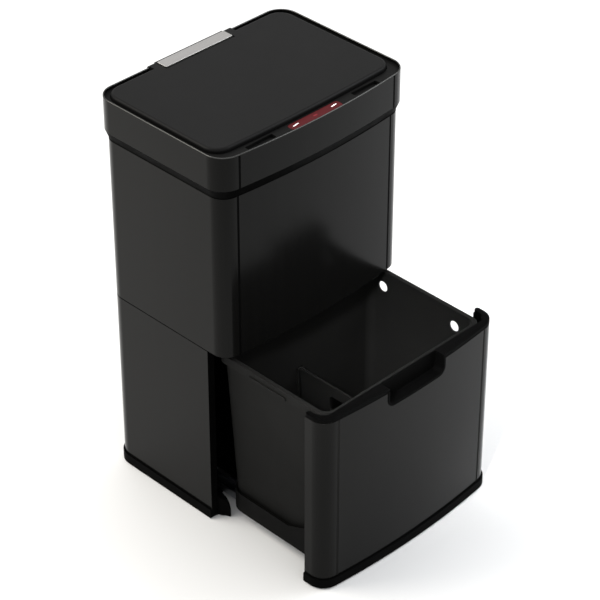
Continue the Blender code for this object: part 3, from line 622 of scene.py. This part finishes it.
def lower_skin():
    """The lower body's steel wrap, open at the front, and a black strip in the seam above it: painted shade
    that darkens the gap between the two wraps.
    """
    bottom, top = cabinet_z("lower_cabinet_shell")
    front = low("lower_cabinet_shell").y - CABINET.y
    path = open_path(body_rear, front)
    profile = edge_profile(0, SHEET, bottom, top - SEAM_GAP, SHEET_ROUND)
    wall("lower_skin", path, profile, "cabinet", STEEL, closed=False, replaces=["lower_cabinet_shell"])
    # A black strip behind the seam gap: painted shade.
    shade_strip_top = cabinet_z("upper_shell")[0] + SEAM_GAP + 0.0004
    strip = box_outline((0.0005, SHEET), (top - SEAM_GAP - 0.0004, shade_strip_top))
    wall("seam_shade_strip", path, strip, "cabinet", BLACK, closed=False, slot="black_plastic")


def pocket_outline(half, bottom, radius, top):
    """The handle pocket seen from the front."""
    outline = arc(-half + radius, bottom + radius, radius, math.pi, 1.5 * math.pi, 10)
    outline += arc(half - radius, bottom + radius, radius, 1.5 * math.pi, 2 * math.pi, 10)
    return outline + [(half, top), (-half, top)]


def drawer_skin():
    """The drawer's steel front, with its handle opening."""
    bottom, top = cabinet_z("drawer_front_panel")
    end = high("drawer_front_panel").y - DRAWER.y
    path = open_path(creased(body_front, SHEET / 2), end)
    profile = edge_profile(0, SHEET, bottom, top, 0.0003)
    links = {"closed": False, "replaces": ["drawer_front_panel"]}
    panel = wall("drawer_skin", path, profile, "drawer", STEEL, **links)
    opening = pocket_outline(*POCKET_OPENING, 0.36)
    cut(panel, tool(opening, *FRONT_CUT, "Y", "drawer"))
    # Grey fills in the drawer front's two front creases: painted shade along them.
    crease_shade_fills("drawer_crease_shade", 0, bottom + CREASE_END, top - CREASE_END, "drawer", BIN)


def back_seams():
    """The folded lock seam up the middle of the back of each shell."""
    chamfer = HALF_DEPTH + SEAM_HEIGHT - 0.0002
    right = [(SEAM_HALF, HALF_DEPTH), (SEAM_HALF, chamfer), (SEAM_HALF - 0.0005, HALF_DEPTH + SEAM_HEIGHT)]
    outline = right + [(-x, y) for x, y in reversed(right)]
    for name, node in (("upper", "upper_shell"), ("lower", "lower_cabinet_shell")):
        bottom, top = cabinet_z(node)
        seam = prism(outline, bottom + 0.0006, top - 0.0006)
        new_piece(f"{name}_seam", seam, "cabinet", STEEL, slot="dark_steel")


# The lid and what stands round it.


def lid():
    """The lid's shell with its round top edge, hollow underneath, and its two knuckles."""
    bottom, top = LID_UNDERSIDE, cabinet_z("lid_cover")[1]
    profile = [(0.0004, bottom), (0, bottom + 0.0004)] + [
        (LID_ROUND - LID_ROUND * math.cos(a), top - LID_ROUND + LID_ROUND * math.sin(a))
        for a in (math.pi / 2 * step / 10 for step in range(11))
    ]
    rings = [[(x, y, z) for x, y in lid_outline(inset)] for inset, z in profile]
    cover = new_piece("lid_shell", skin(rings, closed_profile=False), "lid", LID, replaces=["lid_cover"])
    knuckle = [(0.1360, top), (0.1360, bottom)]
    knuckle += arc(HINGE_Y, HINGE_Z, KNUCKLE_RADIUS, math.radians(250), math.radians(450), 24)
    inner, outer = KNUCKLE_ENDS
    cut(
        cover,
        tool(lid_outline(LID_WALL, rear=LID_NOTCH_FRONT - 0.0001), 0.7200, top - LID_WALL),
        tool(box_outline((-inner, inner), (LID_NOTCH_FRONT, 0.1700)), 0.7200, 0.7500),
    )
    join(cover, tool(knuckle, inner, outer, "X"), tool(knuckle, -outer, -inner, "X"))
    bore = arc(HINGE_Y, HINGE_Z, BORE_RADIUS, 0, 2 * math.pi, 24)[:-1]
    start, end = BORE_ENDS
    cut(cover, tool(bore, start, end, "X"), tool(bore, -end, -start, "X"))


def plate():
    """The silver plate behind the lid."""
    bottom, top = cabinet_z("hinge_plate")
    rear = high("hinge_plate").y - CABINET.y - 0.0010
    middle, half_depth = (PLATE_FRONT + rear) / 2, (rear - PLATE_FRONT) / 2
    shape = oblong(0, middle, high("hinge_plate").x - 0.0006, half_depth, 0.0024)
    top += PLATE_RAISED
    pad("silver_plate", shape, bottom, top, 0.0006, "head", SILVER, replaces=["hinge_plate"])


def lens():
    """The red lens, with a lit mark of two bars near each end and a faint spot between them."""
    bottom, top = cabinet_z("sensor_lens")
    front = low("sensor_lens").y - CABINET.y
    rear = high("sensor_lens").y - CABINET.y
    middle = (front + rear) / 2
    shape = oblong(0, middle, high("sensor_lens").x, (rear - front) / 2, 0.0060, 8)
    pad("lens_cover", shape, bottom, top, 0.0007, "head", LENS, replaces=["sensor_lens"])
    raised = (top - 0.0003, top + MARK_RAISED, MARK_RAISED, "head")
    for side, x in (("left", -MARK_X), ("right", MARK_X)):
        for row, shift in enumerate((-MARK_SHIFT, MARK_SHIFT)):
            mark = oblong(x + shift, middle + 0.0010 + shift / 6, 0.0036, 0.0008, 0.0007, 3)
            pad(f"mark_{side}_{row}", mark, *raised, MARK, 2, slot="light_pipe")
    spot = oblong(0, middle, 0.0042, 0.0016, 0.0015, 4)
    pad("lens_spot", spot, *raised, SPOT, 2, slot="red_lens")


# The drawer.


def wall_inset(z):
    """How far the bin's tapered wall stands in from the rim's outer edge, at a height."""
    return RIM_WIDTH + TAPER * (BIN_SKIRT - z)


def recycling_bin():
    """The bin's tapered walls under a rolled rim, with two bag holes and the divider's ribs."""
    lowest, highest = cabinet_z("recycling_bin")
    half = high("recycling_bin").x
    front = low("recycling_bin").y - DRAWER.y
    rear = high("recycling_bin").y - DRAWER.y
    floor_z, lip, soft = lowest + BIN_WALL, 0.0018, 0.0014
    inner = RIM_WIDTH + BIN_WALL
    # Each row is an inset, a height and a corner radius: up the outside, over the rim and down the inside.
    rows = [
        (wall_inset(lowest) + 0.0030, lowest, 0.0160),
        (wall_inset(lowest) + 0.0008, lowest + 0.0008, 0.0182),
        (wall_inset(lowest + 0.003), lowest + 0.0030, 0.0190),
        (wall_inset(BIN_SKIRT), BIN_SKIRT, 0.0190),
        (RIM_WIDTH - 0.0006, highest - lip, 0.0190),
        (lip, highest - lip, RIM_CORNER - lip),
        (lip, BIN_SKIRT + 0.0004, RIM_CORNER - lip),
        (lip - 0.0004, BIN_SKIRT, RIM_CORNER - lip + 0.0004),
        (0.0005, BIN_SKIRT, RIM_CORNER - 0.0005),
        (0, BIN_SKIRT + 0.0005, RIM_CORNER),
    ]
    turns = [math.pi / 2 * step / ROUND_STEPS for step in range(ROUND_STEPS + 1)]
    for a in turns:
        shift = soft * (1 - math.cos(a))
        rows.append((soft - soft * math.cos(a), highest - soft + soft * math.sin(a), RIM_CORNER - shift))
    for a in turns:
        rows.append((inner - soft * (1 - math.sin(a)), highest - soft * (1 - math.cos(a)), 0.0165))
    inside = wall_inset(floor_z) + BIN_WALL
    rows += [
        (wall_inset(BIN_SKIRT) + BIN_WALL, BIN_SKIRT, 0.0165),
        (inside, floor_z + 0.0040, 0.0165),
        (inside + 0.0012, floor_z + 0.0012, 0.0155),
        (inside + 0.0040, floor_z, 0.0130),
    ]
    rings = [
        [(x, y, z) for x, y in rounded(half - inset, front + inset, rear - inset, radius)]
        for inset, z, radius in rows
    ]
    mesh = skin(rings, closed_profile=False)
    body = new_piece("bin_shell", mesh, "drawer", BIN, replaces=["recycling_bin"])
    holes = [
        tool(arc(y, BAG_HOLE_Z, BAG_HOLE_RADIUS, 0, 2 * math.pi, 32)[:-1], 0.172, 0.184, "X", "drawer")
        for y in BAG_HOLES_Y
    ]
    cut(body, *holes)
    ribs(front, rear, floor_z)


def ribs(front, rear, floor_z):
    """The four ribs that hold the divider's ends, sunk a little way into the bin's walls and floor."""
    bottom, sink, reach = floor_z - 0.0010, 0.0010, 0.0060
    for end, wall_y, way in (("rear", rear, -1), ("front", front, 1)):
        at_bottom = wall_y + way * (wall_inset(bottom) + BIN_WALL)
        at_top = wall_y + way * (wall_inset(RIB_TOP) + BIN_WALL)
        outline = [(at_bottom - way * sink, bottom), (at_top - way * sink, RIB_TOP)]
        outline += [(at_top + way * (reach - 0.002), RIB_TOP), (at_top + way * reach, RIB_TOP - 0.002)]
        outline += [(at_bottom + way * reach, bottom)]
        for side, x in (("left", -0.0061), ("right", 0.0061)):
            middle = DIVIDER_X + x
            rib = prism(outline, middle - 0.0015, middle + 0.0015, "X")
            soften(new_piece(f"bin_rib_{end}_{side}", rib, "drawer", BIN, slot="bin_plastic"), 0.0004, 2)


def grips():
    """The finger grips under the rim, as round-ended strips."""
    for side in ("left", "right"):
        node = f"bin_grip_{side}"
        inner, outer = low(node) - DRAWER, high(node) - DRAWER
        x, y, z = ((inner[i], outer[i]) for i in range(3))
        half, middle = (z[1] - z[0]) / 2, (z[0] + z[1]) / 2
        outline = arc(y[1] - half, middle, half, -math.pi / 2, math.pi / 2, 8)
        outline += arc(y[0] + half, middle, half, math.pi / 2, 1.5 * math.pi, 8)
        strip = new_piece(f"grip_strip_{side}", prism(outline, *x, "X"), "drawer", BIN, replaces=[node])
        soften(strip, 0.0007, 3)


def top_trim():
    """The cap of the drawer front, with its lip inside the liner and the handle pocket."""
    bottom, top = 0.3437, high("drawer_top_trim").z - CABINET.z
    end, inset, inner_y, radius = high("drawer_top_trim").y - DRAWER.y, 0.0097, -0.1245, 0.0200
    inner = HALF_WIDTH - inset
    tip = inset / 2 - 0.0002
    right_end = arc(HALF_WIDTH - tip, end - tip, tip, 0, math.pi / 2, 6)
    right_end += arc(inner + tip, end - tip, tip, math.pi / 2, math.pi, 6)
    outline = body_front(0) + right_end
    outline += arc(inner - radius, inner_y + radius, radius, 0, -math.pi / 2, 10)
    outline += arc(-inner + radius, inner_y + radius, radius, -math.pi / 2, -math.pi, 10)
    outline += [(-x, y) for x, y in reversed(right_end)]
    trim = new_piece("top_trim", prism(outline, bottom, top), "drawer", BLACK, replaces=["drawer_top_trim"])
    lip_path = open_path(body_front, end)
    lip_outline = lip_path(0.0048) + lip_path(inset)[::-1]
    block = tool(pocket_outline(*POCKET_BLOCK, 0.3460), -0.1550, -0.1248, "Y", "drawer")
    combine(block, "INTERSECT", [tool(body_outline(-0.0010), 0.30, 0.36, "Z", "drawer")])
    join(trim, tool(lip_outline, 0.3250, 0.3445, "Z", "drawer"), block)
    hollow = pocket_outline(*POCKET_HOLLOW, 0.3600)
    cut(trim, tool(hollow, FRONT_CUT[0], -0.1272, "Y", "drawer"))
    soften(trim, 0.0009, 3)


def base_trim():
    """The plastic foot rail of the drawer front."""
    bottom, top = cabinet_z("drawer_base_trim")
    end = high("drawer_base_trim").y - DRAWER.y
    profile = edge_profile(HALF_WIDTH - high("drawer_base_trim").x, 0.0045, bottom, top, 0.0016)
    links = {"closed": False, "replaces": ["drawer_base_trim"]}
    wall("base_trim", open_path(body_front, end), profile, "drawer", BLACK, **links)


# Small things at the back.


def door_ridges():
    """Grip ridges on the battery door and on the switch's knob."""
    node_high = high("battery_door") - CABINET
    for row in range(DOOR_RIDGES):
        z = node_high.z - 0.0040 - 0.0022 * row
        ridge = oblong(DOOR_X, z, 0.0110, 0.0005, 0.0004, 3)(0)
        bm = prism(ridge, node_high.y - 0.0002, node_high.y + 0.0004, "Y")
        new_piece(f"door_ridge_{row + 1}", bm, "battery_door", PANEL, slot="grey_plastic")
    knob = high("power_switch") - CABINET
    for row in range(3):
        x = SWITCH_X + 0.0015 * (row - 1)
        ridge = [(u + x, v) for u, v in rounded(0.0004, *SWITCH_RIDGE_Z, 0.0003, 3)]
        bm = prism(ridge, knob.y - 0.0002, knob.y + 0.0003, "Y")
        new_piece(f"switch_ridge_{row + 1}", bm, "power_switch", BLACK, slot="black_plastic")


# Stage, light and camera.

WORLD_STRENGTH = 0.90
CAMERA_PLACE = (-2.3275, -2.4385, 2.6923)
CAMERA_TURN = (-44.89, 35.28)
CAMERA_LENS = 144.86


def floor():
    """The pale floor that the bin stands on."""
    bpy.ops.mesh.primitive_plane_add(size=16)
    plane = bpy.context.object
    plane.name = "floor"
    made = new_material("floor_white", (0.90, 0.90, 0.90), 0.9, specular=0.1)
    plane.data.materials.append(made)


def world(strength):
    made = bpy.data.worlds.new("studio")
    bpy.context.scene.world = made
    made.use_nodes = True
    background = made.node_tree.nodes["Background"]
    background.inputs["Color"].default_value = (1.0, 1.0, 1.0, 1)
    background.inputs["Strength"].default_value = strength


def softbox(name, place, aim, size, power, colour):
    """A round area light at a place, turned to its aim."""
    light = bpy.data.lights.new(name, "AREA")
    light.shape = "DISK"
    light.size = size
    light.energy = power
    light.color = colour
    lamp = bpy.data.objects.new(name, light)
    lamp.location = place
    direction = Vector(aim) - Vector(place)
    lamp.rotation_euler = direction.to_track_quat("-Z", "Y").to_euler()
    bpy.context.scene.collection.objects.link(lamp)
    return light


def camera():
    """At the left front corner, above, as far off as its long lens needs."""
    lens = bpy.data.cameras.new("camera")
    lens.lens = CAMERA_LENS
    lens.sensor_width = 36
    eye = bpy.data.objects.new("camera", lens)
    eye.location = CABINET + Vector(CAMERA_PLACE)
    azimuth, elevation = (math.radians(angle) for angle in CAMERA_TURN)
    eye.rotation_euler = (math.pi / 2 - elevation, 0, azimuth)
    bpy.context.scene.collection.objects.link(eye)
    bpy.context.scene.camera = eye


def studio():
    floor()
    world(WORLD_STRENGTH)
    softbox("cool_right", (1.5, -0.9, 2.0), (0.7, -0.5, 0), 1.4, 24, (0.93, 0.965, 1.0))
    softbox("warm_left", (-1.3, 1.2, 2.0), (-0.6, 0.5, 0), 1.4, 30, (1.0, 0.955, 0.86))
    softbox("top", (0.4, 0.9, 3.4), (0, 0, 0), 2.0, 20, (1.0, 1.0, 1.0))
    fill = softbox("bin_fill", (-1.15, -0.75, 1.50), (0.06, -0.150, 0.28), 0.30, 0.55, (1.0, 1.0, 1.0))
    # A narrow beam, so that it lights the bin's inside and not the floor.
    fill.spread = math.radians(14)
    camera()
    bpy.context.scene.view_settings.view_transform = "Standard"


def build():
    dress_frame()
    head_ring()
    upper_skin()
    lower_skin()
    drawer_skin()
    back_seams()
    lid()
    plate()
    lens()
    recycling_bin()
    grips()
    top_trim()
    base_trim()
    door_ridges()
    studio()


build()
